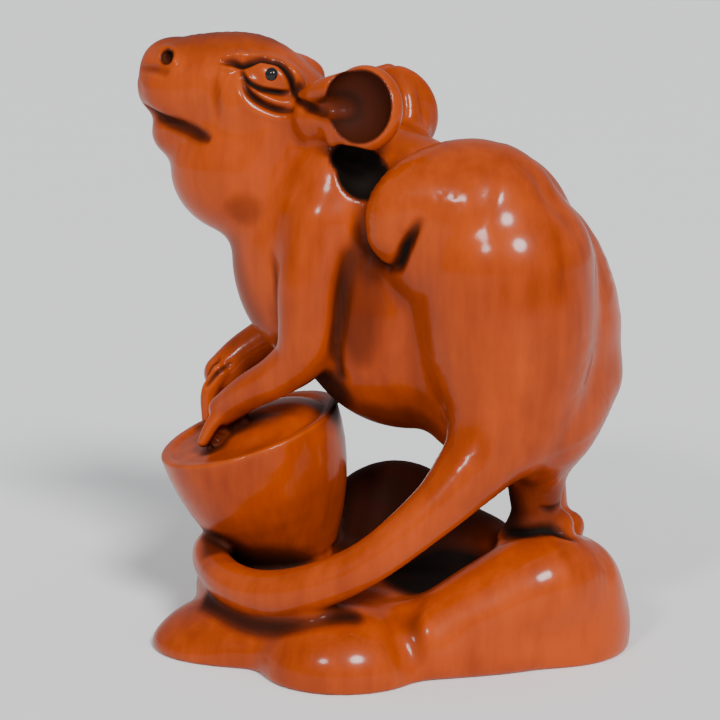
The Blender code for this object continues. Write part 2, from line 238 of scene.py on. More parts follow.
def on_both_sides(shapes: Sequence[Any]) -> list[Any]:
    """Give each shape and its mirror image on the rat's other side."""
    return [each for shape in shapes for each in (shape, shape.mirrored())]


def soft_union(first: np.ndarray, second: np.ndarray, width: float) -> np.ndarray:
    """Join two distance fields with a rounded inner corner.

    Args:
        first: One field's distances.
        second: The other field's distances.
        width: How wide the rounding is, in millimetres.

    Returns:
        The joined distances.
    """
    near = np.maximum(width - np.abs(first - second), 0.0) / width
    return np.minimum(first, second) - near * near * width / 4.0


@dataclass
class Block:
    """The wood, as forms that are added and cut one after another."""

    strokes: list[tuple[Form, Touch, float]] = field(default_factory=list)
    fresh: list[Limb] = field(default_factory=list)
    base_rounding: float = 0.3

    def add(self, blend: float, *forms: Form) -> None:
        """Add forms with a blend width in millimetres."""
        self.strokes.extend((form, Touch.ADD, blend) for form in forms)

    def add_fresh(self, blend: float, *forms: Limb) -> None:
        """Add limbs that the frame's solid doesn't have, so the first skin is laid round them too."""
        self.add(blend, *forms)
        self.fresh.extend(forms)

    def cut(self, blend: float, *forms: Form) -> None:
        """Cut forms away with a blend width in millimetres."""
        self.strokes.extend((form, Touch.CUT, blend) for form in forms)

    def distance(self, points: np.ndarray) -> np.ndarray:
        """Give the signed distance of points to the whole block.

        Args:
            points: Places in millimetres, one a row.

        Returns:
            Distances in millimetres, negative inside the wood.
        """
        open_air = 1e3
        total = np.full(len(points), open_air)
        for form, touch, width in self.strokes:
            level = total if touch is Touch.ADD else -total
            near = form.reach(points) < level + width
            if not near.any():
                continue
            there = form.distance(points[near])
            if touch is Touch.ADD:
                total[near] = soft_union(total[near], there, width)
            else:
                total[near] = -soft_union(-total[near], there, width)
        return -soft_union(-total, points[:, 2], self.base_rounding)

    def slope(self, points: np.ndarray, here: np.ndarray) -> np.ndarray:
        """Give the field's gradient at points, from its value there."""
        step = 0.02
        ahead = [self.distance(points + step * axis) - here for axis in np.eye(3)]
        return np.stack(ahead, axis=1) / step


@dataclass(frozen=True)
class Line:
    """A knife line on the surface: a groove where depth is above 0, and a ridge where it is below.

    Stations are (x, y, z, share of depth).
    """

    stations: tuple[Station, ...]
    width: float
    depth: float
    # How dark the band along the line is painted: dark stain in the cut and painted shade of the groove.
    stain: float = 0.6

    def mirrored(self) -> "Line":
        """Give the same line on the rat's other side."""
        stations = tuple((x, -y, z, share) for x, y, z, share in self.stations)
        return Line(stations, self.width, self.depth, self.stain)


@dataclass(frozen=True)
class ShadeAndPatina:
    """Dark colour painted wherever the surface lies in a form: mostly painted shade in recesses and on
    shadowed sides, and dark patina in some places.
    """

    form: Form
    strength: float
    edge: float = 1.0

    def amount(self, points: np.ndarray) -> np.ndarray:
        """Give the darkening at points, from 0 to the strength."""
        result = np.zeros(len(points))
        near = self.form.reach(points) < self.edge
        if near.any():
            share = np.clip(0.5 - self.form.distance(points[near]) / self.edge, 0.0, 1.0)
            result[near] = self.strength * share * share * (3.0 - 2.0 * share)
        return result

    def mirrored(self) -> "ShadeAndPatina":
        """Give the same dark zone on the rat's other side."""
        return ShadeAndPatina(self.form.mirrored(), self.strength, self.edge)


@dataclass(frozen=True)
class FineArea:
    """A ball in which the skin gets smaller faces."""

    centre: Triple
    radius: float
    edge: float

    def mirrored(self) -> "FineArea":
        """Give the same area on the rat's other side."""
        x, y, z = self.centre
        return FineArea((x, -y, z), self.radius, self.edge)


@dataclass
class Rocks:
    """The base of rounded rocks."""

    turn: Triple = (0.0, 0.0, 15.0)

    def carve(self, wood: Block) -> None:
        """Add the rocks to the wood."""
        for blend, centre, radii in (
                (0.1, (0.0, -2.5, 1.2), (17.4, 9.5, 4.2)),
                (2.0, (-12.7, -6.4, 0.4), (6.3, 5.5, 2.6)),
                (1.5, (-2.2, -10.4, 0.8), (6.3, 5.6, 4.6)),
                (1.5, (12.2, 1.2, 1.5), (6.2, 6.8, 7.4)),
                (2.5, (-2.5, 7.2, 2.9), (7.8, 3.8, 9.7)),
                (2.0, (3.6, 6.6, 1.6), (6.4, 4.2, 7.3))):
            wood.add(blend, Mass(centre, radii, self.turn))
        wood.add(1.5, Limb((
            (4.0, -8.2, 2.6, 3.0), (8.6, -5.2, 4.6, 3.8), (12.2, -3.0, 6.1, 4.1),
            (14.0, -0.5, 5.5, 3.6))))
        wood.cut(1.4, Limb(((2.4, -9.3, 5.6, 0.9), (2.9, -11.6, 4.6, 1.0), (4.4, -13.0, 1.8, 1.0))))


@dataclass
class Tub:
    """The small turned tub, filled almost to its rim."""

    place: Triple = (-12.85, -0.9, 16.7)
    lean: Triple = (9.0, -15.5, 0.0)
    rim: float = 7.55
    foot: float = 4.15
    height: float = 10.9
    lip: float = 0.75
    fill: float = 0.45
    rounding: float = 0.2
    mound_place: Triple = (2.1, 0.0, -0.95)
    mound_radii: Triple = (4.6, 4.9, 2.35)

    def wall(self) -> list[tuple[float, float]]:
        """Give the outside from the rim down, as radius and height."""
        bulge = ((1.0, 1.0), (0.86, 0.98), (0.72, 0.92), (0.57, 0.81), (0.42, 0.66), (0.28, 0.47),
                 (0.14, 0.25), (0.0, 0.0))
        return [(self.foot + (self.rim - self.foot) * out, self.height * (up - 1.0)) for up, out in bulge]

    def carve(self, wood: Block) -> None:
        """Add the tub, its fill and the low mound on it."""
        ease = self.rounding
        lip = self.rim - self.lip
        outline = [(0.0, -self.fill), (lip - 0.25, -self.fill - 0.05), (lip + 0.05, -ease)]
        outline += [(radius - ease, height - ease) for radius, height in self.wall()]
        outline.append((0.0, -self.height - ease))
        axis = turned_about(self.lean)
        middle = np.array(self.place) + axis @ np.array(self.mound_place)
        footing = np.array(self.place) - axis[:, 2] * self.height
        wood.add(2.0, Mass((footing[0], footing[1], 1.8), (7.0, 6.5, footing[2] - 1.5), (0.0, 0.0, 15.0)))
        wood.add(0.35, Turned(self.place, self.lean, tuple(outline), ease))
        wood.add(0.5, Mass(tuple(middle), self.mound_radii, self.lean))


@dataclass
class Trunk:
    """The rat's body from the rump to the shoulders, with the tail."""

    def carve(self, wood: Block) -> None:
        """Add the trunk to the wood."""
        wood.add(2.0, Mass((8.1, 0.0, 25.8), (8.9, 8.5, 11.2)))
        wood.add(2.0, Limb((
            (-4.0, 0.0, 38.0, 4.5), (1.0, 0.0, 35.5, 5.0), (5.5, 0.0, 33.0, 5.2), (8.8, 0.0, 30.8, 5.6),
            (9.6, 0.0, 26.0, 6.8))))
        wood.add(1.2, Mass((6.2, -4.6, 33.6), (7.3, 5.6, 7.2)))
        wood.add(1.5, Mass((5.4, 4.2, 32.2), (7.4, 5.5, 7.4)))
        wood.add(1.0, Mass((0.5, 0.0, 26.4), (9.4, 7.2, 9.1)))
        wood.add(1.5, Mass((-12.9, 0.0, 37.7), (6.3, 5.5, 5.4)))
        wood.add(1.8, Mass((-7.2, 0.0, 31.0), (6.9, 5.9, 8.9)))
        shoulder = Mass((-4.6, -3.0, 34.3), (4.6, 3.8, 6.5))
        wood.add(1.5, shoulder, shoulder.mirrored())

    def carve_tail(self, wood: Block) -> None:
        """Add the thigh that sweeps into the tail and round the tub."""
        wood.add(0.6, Limb((
            (8.8, -4.5, 31.0, 7.0), (9.3, -5.0, 26.0, 6.7), (9.6, -5.9, 21.8, 5.1),
            (8.7, -7.8, 18.3, 3.4), (7.0, -9.6, 15.8, 2.55), (4.75, -11.0, 13.3, 2.0),
            (0.4, -12.2, 9.6, 1.7), (-4.2, -12.4, 7.2, 1.8), (-8.7, -11.1, 6.05, 1.75),
            (-12.4, -8.5, 6.1, 1.6), (-15.2, -4.1, 6.6, 1.45), (-15.8, 0.5, 6.5, 1.3),
            (-13.5, 4.8, 6.2, 1.15), (-9.5, 6.6, 6.0, 0.95)), 8))
        wood.add(2.0, Limb(((14.6, 0.0, 22.0, 2.6), (13.0, -2.5, 20.0, 3.4), (10.6, -5.2, 19.3, 3.6))))
        wood.add(0.8, Limb((
            (-4.2, -11.2, 4.6, 2.0), (-8.7, -9.8, 3.6, 1.9), (-12.4, -7.4, 3.6, 1.7),
            (-15.0, -3.6, 4.0, 1.5), (-15.4, 0.5, 4.0, 1.4), (-13.0, 4.6, 4.0, 1.3),
            (-9.5, 6.2, 4.0, 1.2))))


@dataclass
class Legs:
    """The hind legs with their knees and feet, and the forelegs with their paws.

    The digits are the places of the toes or fingers across a foot or paw.
    """

    digits: tuple[float, ...] = (-1.0, -0.33, 0.33, 1.0)

    def carve_hind(self, wood: Block) -> None:
        """Add the knees, the hind legs and the feet with their toes."""
        wood.add(1.5, Limb((
            (7.3, -5.0, 35.0, 5.3), (3.5, -6.2, 36.2, 3.7), (1.5, -7.4, 35.6, 2.6),
            (0.9, -8.0, 34.0, 1.8))))
        wood.add(1.5, Limb((
            (6.6, 4.6, 33.6, 5.0), (3.3, 5.8, 34.6, 3.6), (1.4, 6.8, 34.0, 2.5), (0.9, 7.2, 32.4, 1.8))))
        wood.add(1.2, Limb((
            (11.2, -3.5, 19.0, 4.2), (11.3, -2.5, 15.8, 2.7), (11.1, -1.8, 13.1, 2.1),
            (11.2, -1.4, 10.4, 1.9), (11.4, -1.4, 5.0, 2.0))))
        wood.add(1.2, Limb((
            (9.5, 5.0, 25.0, 5.4), (10.1, 4.6, 18.0, 3.8), (10.2, 4.3, 14.0, 2.4), (10.6, 4.4, 11.0, 2.0),
            (11.2, 4.4, 5.0, 2.0))))
        wood.add(0.6, Limb(((11.0, -1.4, 10.4, 1.8), (12.8, -1.2, 10.3, 1.3))))
        wood.add(0.6, Limb(((10.9, 4.4, 8.8, 1.8), (12.8, 4.5, 8.7, 1.3))))
        wood.add(0.6, Limb(((11.0, -1.5, 10.3, 1.8), (9.8, -1.8, 9.6, 1.3), (9.0, -2.0, 9.2, 0.85))))
        wood.add(0.6, Limb(((11.0, 4.4, 8.9, 1.8), (9.4, 4.4, 8.2, 1.4), (8.4, 4.4, 7.7, 1.0))))
        for x, y, z in ((9.0, -2.0, 9.1), (8.3, 4.4, 7.6)):
            for share in self.digits:
                wood.add_fresh(0.2, Limb((
                    (x + 0.6, y + 0.7 * share, z + 0.25, 0.55),
                    (x - 0.4, y + 0.95 * share, z - 0.5, 0.46), (x - 0.9, y + share, z - 1.3, 0.34))))

    def carve_fore(self, wood: Block) -> None:
        """Add the forelegs and the paws with their fingers."""
        wood.add(0.8, Limb((
            (-5.3, -4.2, 34.0, 3.3), (-6.0, -5.2, 29.5, 2.85), (-6.2, -5.6, 26.0, 2.5),
            (-6.9, -5.6, 23.8, 2.1), (-9.0, -5.2, 22.0, 1.7), (-11.8, -4.4, 20.3, 1.45),
            (-14.0, -3.4, 18.6, 1.3))))
        wood.add(0.8, Limb((
            (-6.0, 4.2, 34.0, 3.2), (-7.5, 5.4, 29.0, 2.8), (-8.5, 5.6, 26.2, 2.4),
            (-11.5, 4.6, 24.0, 1.9), (-14.6, 3.6, 22.0, 1.6), (-16.2, 2.7, 20.3, 1.6))))
        for share in self.digits:
            wood.add_fresh(0.22, Limb((
                (-13.8, -3.4 + 0.75 * share, 18.7, 0.66), (-14.8, -3.4 + 0.95 * share, 17.5, 0.55),
                (-15.5, -3.3 + 1.15 * share, 16.1, 0.46))))
            wood.add_fresh(0.22, Limb((
                (-16.1, 2.3 + 0.8 * share, 20.6, 0.8), (-16.9, 1.9 + 0.95 * share, 18.9, 0.64),
                (-16.9, 1.7 + 1.05 * share, 16.9, 0.5))))


@dataclass
class Head:
    """The raised head with its eyes, ears, nose and mouth."""

    def carve(self, wood: Block) -> None:
        """Add the skull, the snout, the lips and the swellings of the cheeks and eyes."""
        wood.add(2.0, Limb((
            (-10.4, 0.0, 41.8, 4.8), (-12.8, 0.0, 43.8, 4.65), (-15.8, 0.0, 44.4, 4.1),
            (-18.2, 0.0, 44.7, 3.4))))
        wood.add(1.0, Mass((-19.6, 0.0, 45.7), (2.1, 1.8, 2.1)))
        wood.add(1.0, Mass((-18.9, 0.0, 43.9), (3.0, 2.9, 2.3)))
        wood.add(1.0, Mass((-17.2, 0.0, 40.6), (3.7, 3.1, 2.6)))
        for form, blend in (
                (Mass((-10.0, -3.0, 45.0), (2.6, 1.45, 1.7)), 0.8),
                (Mass((-12.1, -3.3, 43.0), (2.2, 1.7, 2.0)), 1.2),
                (Mass((-17.6, -2.2, 43.9), (2.7, 1.7, 2.2)), 0.9),
                (Mass((-18.7, -1.9, 46.4), (1.1, 1.0, 1.1)), 0.5)):
            wood.add(blend, form, form.mirrored())

    def ear_form(self, side: int, offset: Triple, radii: Triple) -> Mass:
        """Give a rounded form in an ear's own frame.

        Args:
            side: -1 for the left ear and 1 for the right one.
            offset: Its middle from the ear's middle, along the ear's axes.
            radii: Its radii.

        Returns:
            The form.
        """
        place = np.array((-1.7, -6.0, 43.1) if side < 0 else (-1.8, 5.5, 42.2))
        turn = (-74.0 * side, -13.0, 0.0)
        return Mass(tuple(place + turned_about(turn) @ np.array(offset)), radii, turn)

    def ear_hollow(self, side: int, grown: float = 0.0) -> Mass:
        """Give the hollow of an ear, grown by some millimetres."""
        wide, tall = (2.5, 2.85) if side < 0 else (2.6, 3.2)
        return self.ear_form(side, (-0.1, 0.0, 1.3), (wide + grown, tall + grown, 1.9 + grown))

    def carve_ears(self, wood: Block) -> None:
        """Add both ears with their hollows, and deepen the neck under them."""
        for side, radii in ((-1, (3.0, 3.35, 1.6)), (1, (3.1, 3.75, 1.7))):
            wood.add(1.0, Limb(((-6.0, side * 3.8, 42.2, 2.0), (-3.4, side * 5.0, 42.3, 1.6))))
            wood.add(0.5, self.ear_form(side, (0.0, 0.0, 0.0), radii))
            wood.add_fresh(0.5, Limb((
                (-6.9, side * 4.4, 43.7, 0.6), (-5.6, side * 5.4, 44.2, 0.85),
                (-4.2, side * 6.2, 44.6, 0.95), (-3.0, side * 6.4, 45.0, 0.9))))
            wood.add_fresh(0.6, Limb(((-4.4, side * 5.6, 42.0, 0.9), (-3.9, side * 5.9, 41.0, 0.9))))
            wood.cut(0.2, self.ear_hollow(side))
            wood.cut(0.3, Limb((
                (-3.1, side * 6.4, 43.3, 1.05), (-4.1, side * 6.75, 43.2, 0.85),
                (-5.2, side * 6.4, 43.1, 0.5), (-6.1, side * 5.85, 43.05, 0.2))))
            wood.cut(0.3, self.ear_form(side, (-0.9, 0.3, 0.75), (1.15, 1.25, 1.2)))
            wood.cut(0.4, Mass((-1.9, side * 5.9, 38.5), (1.9, 1.9, 2.35), (0.0, -25.0, 0.0)))
            wood.cut(0.4, Mass((-3.0, side * 5.4, 39.5), (1.4, 1.6, 1.1), (0.0, -15.0, 0.0)))
        wood.add(1.0, Limb(((-1.0, 4.6, 41.0, 1.5), (-0.2, 3.2, 39.6, 1.7), (0.4, 1.0, 38.4, 1.8))))
        wood.add_fresh(0.6, Limb((
            (-1.6, 4.4, 45.0, 0.5), (-0.8, 3.7, 43.6, 0.75), (-0.5, 3.3, 42.2, 0.85),
            (-0.5, 2.6, 40.9, 0.9), (0.0, 0.8, 39.9, 1.0), (0.6, -1.4, 39.5, 1.0),
            (0.7, -2.6, 38.8, 0.8))))

    def carve_face(self, wood: Block) -> None:
        """Cut the nostrils and set the eyeballs between their lids."""
        ball = Mass((-9.95, -3.6, 45.25), (1.95, 0.86, 1.25), (0.0, 14.0, 0.0))
        nostril = Limb(((-18.2, -2.0, 46.4, 0.5), (-18.7, -3.3, 46.75, 0.62)))
        wood.add(0.15, ball, ball.mirrored())
        wood.cut(0.2, nostril, nostril.mirrored())


@dataclass
class KnifeLines:
    """The fine lines and ridges that are cut last."""

    def both_sides(self) -> list[Line]:
        """Give the lines of the face, once for each side."""
        lines = [
            Line((
                (-13.9, -3.9, 46.3, 0.2), (-12.9, -3.9, 46.35, 0.8), (-12.1, -4.1, 46.2, 1.0),
                (-11.4, -4.0, 46.45, 1.0), (-10.6, -3.8, 46.8, 1.0), (-9.85, -3.9, 46.8, 1.0),
                (-8.95, -3.9, 46.5, 1.0), (-8.2, -4.1, 45.65, 1.0), (-7.85, -3.9, 44.55, 1.0),
                (-7.6, -4.0, 43.8, 0.9), (-6.9, -5.0, 43.45, 0.8), (-6.0, -5.7, 43.05, 0.8),
                (-4.9, -6.2, 42.8, 0.6)), 0.3, 0.42, 1.0),
            Line((
                (-12.0, -4.3, 45.7, 0.5), (-11.45, -4.55, 44.95, 1.0), (-10.6, -4.6, 44.45, 1.0),
                (-9.7, -4.5, 44.2, 1.0), (-8.85, -4.3, 44.05, 1.0),
                (-8.3, -4.05, 44.05, 0.6)), 0.22, 0.32, 1.0),
            Line((
                (-11.7, -4.45, 45.4, 0.5), (-11.0, -4.6, 44.35, 1.0), (-10.0, -4.55, 43.7, 1.0),
                (-8.85, -4.3, 43.3, 1.0), (-8.1, -4.15, 43.4, 0.4)), 0.28, -0.24, 0.0),
            Line((
                (-11.75, -4.5, 45.0, 0.4), (-11.2, -4.65, 43.95, 1.0), (-10.1, -4.65, 43.2, 1.0),
                (-9.0, -4.45, 42.8, 1.0), (-7.85, -4.6, 42.8, 0.5)), 0.26, 0.32, 0.9),
            Line((
                (-12.2, -4.5, 44.5, 0.3), (-11.4, -4.8, 43.1, 0.8), (-10.1, -4.8, 42.45, 1.0),
                (-8.8, -4.7, 42.1, 0.8), (-7.6, -4.9, 42.4, 0.3)), 0.36, -0.14, 0.0),
            Line((
                (-13.6, -3.6, 46.75, 0.4), (-12.5, -3.5, 46.95, 1.0), (-11.4, -3.5, 47.1, 1.0),
                (-10.2, -3.4, 47.3, 0.6), (-8.9, -3.5, 47.0, 0.3)), 0.34, -0.26, 0.0),
            Line((
                (-14.0, -4.0, 46.1, 0.5), (-13.0, -4.15, 45.85, 1.0),
                (-12.3, -4.15, 45.95, 0.6)), 0.22, -0.14, 0.0),
            Line((
                (-20.95, -1.5, 42.5, 0.8), (-19.9, -2.25, 42.25, 1.0), (-18.3, -2.9, 41.55, 1.0),
                (-16.8, -3.5, 41.1, 1.0), (-15.6, -4.1, 40.7, 1.0),
                (-14.85, -4.5, 40.45, 0.7)), 0.42, 0.34, 0.7),
            Line((
                (-19.5, -2.3, 41.3, 0.6), (-17.95, -3.1, 40.85, 1.0), (-16.75, -3.6, 40.5, 1.0),
                (-15.5, -4.3, 40.2, 0.6)), 0.4, -0.16, 0.0),
            Line((
                (-14.3, -4.3, 45.4, 0.3), (-14.05, -4.5, 44.1, 0.8), (-13.8, -4.5, 42.7, 0.7),
                (-13.9, -4.6, 41.6, 0.1)), 0.5, 0.26, 0.35),
            Line((
                (-21.1, -1.4, 45.6, 0.6), (-19.9, -2.5, 45.6, 1.0),
                (-18.5, -3.3, 45.4, 0.8)), 0.4, 0.24, 0.4),
            Line(((-21.2, -0.45, 45.2, 0.5), (-20.6, -1.9, 44.1, 0.3)), 0.3, 0.1, 0.2),
            Line((
                (-19.4, -2.3, 47.2, 0.8), (-18.6, -2.5, 47.35, 1.0), (-18.0, -2.9, 46.9, 1.0),
                (-17.8, -3.2, 46.3, 0.8)), 0.26, -0.22, 0.0),
        ]
        return on_both_sides(lines)

    def single(self) -> list[Line]:
        """Give the lines that are on one side only or on the middle."""
        return [
            Line((
                (-21.8, 0.0, 45.4, 0.6), (-22.0, 0.0, 44.4, 1.0), (-21.9, 0.0, 43.2, 0.9),
                (-21.4, 0.0, 42.6, 0.5)), 0.25, 0.22, 0.7),
            Line((
                (0.3, -7.6, 31.0, 0.4), (1.3, -8.8, 31.3, 0.9), (1.95, -9.2, 32.1, 1.0),
                (2.5, -9.8, 33.3, 1.0), (3.3, -10.1, 34.8, 0.5),
                (3.8, -10.3, 35.6, 0.1)), 0.42, 0.6, 1.0),
            Line(((-1.6, -6.3, 33.4, 0.5), (-1.1, -6.4, 32.0, 0.9), (0.3, -7.6, 31.2, 0.9)), 0.5, 0.3, 0.9),
            Line((
                (-16.2, 1.7, 21.7, 0.5), (-16.6, 1.35, 20.9, 1.0), (-17.1, 1.1, 19.9, 0.6)), 0.2, 0.22, 0.8),
            Line((
                (-15.2, 1.6, 21.4, 0.5), (-16.1, 1.1, 20.6, 1.0), (-16.75, 0.9, 19.6, 0.6)), 0.2, 0.22, 0.8),
            Line((
                (-2.9, -6.5, 32.0, 0.4), (-3.2, -6.6, 29.5, 1.0), (-3.5, -6.7, 27.0, 1.0),
                (-3.9, -6.4, 24.8, 1.0), (-3.9, -5.8, 22.3, 0.8)), 0.5, 0.34, 0.75),
            Line((
                (-9.4, -5.5, 32.3, 0.2), (-9.1, -5.7, 31.1, 0.7), (-8.9, -5.9, 29.3, 1.0),
                (-9.0, -5.6, 27.4, 1.0), (-9.3, -5.0, 25.9, 0.5)), 0.32, 0.22, 0.5),
            Line((
                (9.0, -2.9, 9.9, 0.6), (10.1, -3.4, 10.1, 1.0), (11.1, -3.6, 10.3, 1.0),
                (12.5, -3.1, 10.4, 1.0), (13.9, -2.9, 9.9, 0.8),
                (14.4, -2.6, 9.6, 0.3)), 0.42, 0.34, 1.0),
            # Painted shade only, with no groove: a dark band under the thigh towards the near leg.
            Line((
                (10.3, -9.4, 15.2, 0.1), (10.6, -7.0, 15.5, 0.6), (11.0, -5.0, 15.0, 0.8),
                (11.4, -4.6, 15.6, 0.5)), 0.8, 0.0, 0.7),
            Line((
                (11.9, -3.4, 12.3, 0.4), (12.5, -2.9, 12.1, 1.0), (13.0, -2.2, 12.3, 0.5)), 0.22, 0.2, 0.8),
            Line((
                (10.6, -6.9, 39.1, 0.4), (11.6, -6.4, 38.5, 0.8), (12.6, -6.5, 36.8, 0.8),
                (14.0, -6.5, 34.4, 0.4)), 0.9, 0.3, 0.1),
        ]


@dataclass
class ShadeAndPatinaZones:
    """Painted shade in the hollows, recesses and on sides turned from the lamps, with the dark patina on the
    rock behind and a darker crown.
    """

    def both_sides(self) -> list[ShadeAndPatina]:
        """Give the dark zones of the head, once for each side: painted shade in the ear canals, the pits
        under the ears, the nostrils, along the mouth and under the jaw, and a darker crown.
        """
        zones = [
            # Painted shade in the ear canal.
            ShadeAndPatina(Limb((
                (-3.1, -6.1, 43.3, 1.1), (-4.1, -6.7, 43.2, 0.9), (-5.2, -6.4, 43.1, 0.55),
                (-6.1, -5.85, 43.05, 0.3))), 0.9, 1.4),
            # Painted shade in the pits under the ear.
            ShadeAndPatina(Mass((-1.9, -5.9, 38.5), (2.05, 2.3, 2.5), (0.0, -25.0, 0.0)), 1.0, 0.35),
            ShadeAndPatina(Mass((-3.0, -5.5, 39.5), (1.6, 1.9, 1.3), (0.0, -15.0, 0.0)), 1.0, 0.35),
            ShadeAndPatina(Mass((-15.0, -1.8, 48.2), (7.5, 3.4, 1.6)), 0.24, 2.4),
            # Painted shade in the nostril.
            ShadeAndPatina(Limb(((-18.2, -2.0, 46.4, 0.6), (-18.6, -3.0, 46.65, 0.6))), 1.0, 0.5),
            # Painted shade under the upper lip along the mouth.
            ShadeAndPatina(Limb((
                (-19.4, -2.4, 42.0, 0.5), (-17.2, -3.3, 41.2, 0.6), (-15.4, -4.2, 40.5, 0.5))), 0.4, 1.4),
            # Painted shade on the throat under the jaw.
            ShadeAndPatina(Mass((-11.7, -4.9, 35.0), (1.6, 1.4, 1.4)), 0.3, 1.6),
        ]
        return on_both_sides(zones)

    def single(self) -> list[ShadeAndPatina]:
        """Give the dark zones of the ears, the body, the tub and the rocks: painted shade in the ear
        hollows, on the body's lower and hidden parts, round the tub's foot and in the rock's recesses, and
        dark patina on the rock behind.
        """
        return [
            # Painted shade in the ear hollows.
            ShadeAndPatina(Head().ear_hollow(-1, 0.12), 0.8, 0.3),
            ShadeAndPatina(Head().ear_hollow(1, 0.12), 0.8, 0.3),
            ShadeAndPatina(Mass((-1.0, 6.6, 7.0), (9.3, 5.2, 7.6), (0.0, 0.0, 15.0)), 0.8, 3.2),
            # Painted shade in the recess of the rock behind the tail.
            ShadeAndPatina(Mass((4.5, -1.0, 4.0), (6.5, 5.5, 4.5)), 0.95, 1.5),
            # Painted shade on the rock under the tail.
            ShadeAndPatina(Limb((
                (-14.0, -8.2, 4.0, 0.9), (-9.4, -11.4, 3.6, 0.9), (-4.8, -13.0, 4.2, 0.8),
                (-1.0, -12.2, 4.9, 0.8))), 0.85, 1.5),
            # Painted shade where the tail runs under the tub.
            ShadeAndPatina(Limb((
                (-14.0, -7.0, 7.6, 0.9), (-15.0, -4.0, 8.2, 0.9), (-15.3, -1.0, 8.3, 0.9))), 0.6, 1.3),
            # Painted shade between the tail and the tub's foot.
            ShadeAndPatina(Mass((-10.5, -4.6, 5.9), (4.8, 3.6, 1.9)), 0.85, 2.4),
            # Painted shade on the flank between the near foreleg and the haunch.
            ShadeAndPatina(Mass((-1.8, -6.6, 28.5), (2.2, 1.7, 5.2)), 0.42, 2.2),
            # Painted shade under the belly behind the near forearm.
            ShadeAndPatina(Mass((-5.5, -4.0, 21.0), (2.6, 2.4, 2.2)), 0.8, 1.8),
            # Painted shade under the belly, above the tail.
            ShadeAndPatina(Mass((-0.5, -2.5, 18.6), (6.0, 4.5, 2.0)), 0.4, 2.2),
            # Painted shade in the valley between the rock's lobes.
            ShadeAndPatina(Limb(((3.0, -10.2, 4.9, 0.8), (3.7, -11.6, 3.4, 0.8), (4.6, -12.4, 1.6, 0.7))), 0.5, 1.6),
            # Painted shade on the near lower leg under the haunch.
            ShadeAndPatina(Mass((11.0, -2.2, 12.6), (3.0, 2.9, 3.6)), 0.42, 2.2),
            # Painted shade on the front of the near leg.
            ShadeAndPatina(Mass((9.4, -1.6, 12.2), (1.6, 2.4, 3.6)), 0.7, 1.6),
            # Painted shade on the chest's side turned from the lamps.
            ShadeAndPatina(Limb((
                (-13.1, -2.6, 31.5, 1.6), (-12.2, -3.2, 29.0, 1.6), (-11.6, -3.4, 26.5, 1.6))), 0.3, 2.4),
            # Painted shade on the mound under the paws.
            ShadeAndPatina(Mass((-12.6, -1.2, 16.6), (6.6, 6.6, 1.6), (9.0, -15.5, 0.0)), 0.12, 0.6),
        ]


def tidy_neighbours(mesh: bpy.types.Mesh) -> tuple[np.ndarray, np.ndarray]:
    """Read a mesh's edges.

    Args:
        mesh: The mesh.

    Returns:
        The edges' vertex pairs, and how many neighbours each vertex has.
    """
    pairs = np.empty(len(mesh.edges) * 2, np.int64)
    mesh.edges.foreach_get("vertices", pairs)
    pairs = pairs.reshape(-1, 2)
    count = np.bincount(pairs.ravel(), minlength=len(mesh.vertices)).astype(float)
    return pairs, np.maximum(count, 1.0)


def read_points(mesh: bpy.types.Mesh) -> np.ndarray:
    """Read a mesh's vertices, in millimetres."""
    points = np.empty(len(mesh.vertices) * 3)
    mesh.vertices.foreach_get("co", points)
    return points.reshape(-1, 3) / MM


def read_normals(mesh: bpy.types.Mesh) -> np.ndarray:
    """Read the way that a mesh's vertices face."""
    normals = np.empty(len(mesh.vertices) * 3, np.float32)
    mesh.vertices.foreach_get("normal", normals)
    return normals.reshape(-1, 3).astype(float)


def beside(values: np.ndarray, pairs: np.ndarray, count: np.ndarray) -> np.ndarray:
    """Give the mean of each vertex's neighbours: of numbers, or of points one a row."""
    if values.ndim > 1:
        return np.stack([beside(column, pairs, count) for column in values.T], axis=1)
    total = np.bincount(pairs[:, 0], values[pairs[:, 1]], len(values))
    total += np.bincount(pairs[:, 1], values[pairs[:, 0]], len(values))
    return total / count


def spread(values: np.ndarray, pairs: np.ndarray, count: np.ndarray, rounds: int) -> np.ndarray:
    """Even out a value over the surface by blending it with its neighbours'."""
    for _ in range(rounds):
        values = 0.5 * values + 0.5 * beside(values, pairs, count)
    return values


def finished_mesh(name: str, work: bmesh.types.BMesh) -> bpy.types.Mesh:
    """Turn worked faces into a mesh and let them go."""
    mesh = bpy.data.meshes.new(name)
    work.to_mesh(mesh)
    work.free()
    return mesh


def placed(name: str, data: bpy.types.ID) -> bpy.types.Object:
    """Put data into the scene as an object at the origin."""
    thing = bpy.data.objects.new(name, data)
    bpy.context.scene.collection.objects.link(thing)
    return thing


def write_points(mesh: bpy.types.Mesh, points: np.ndarray) -> None:
    """Write a mesh's vertices, given in millimetres."""
    mesh.vertices.foreach_set("co", (points * MM).ravel())
    mesh.update()


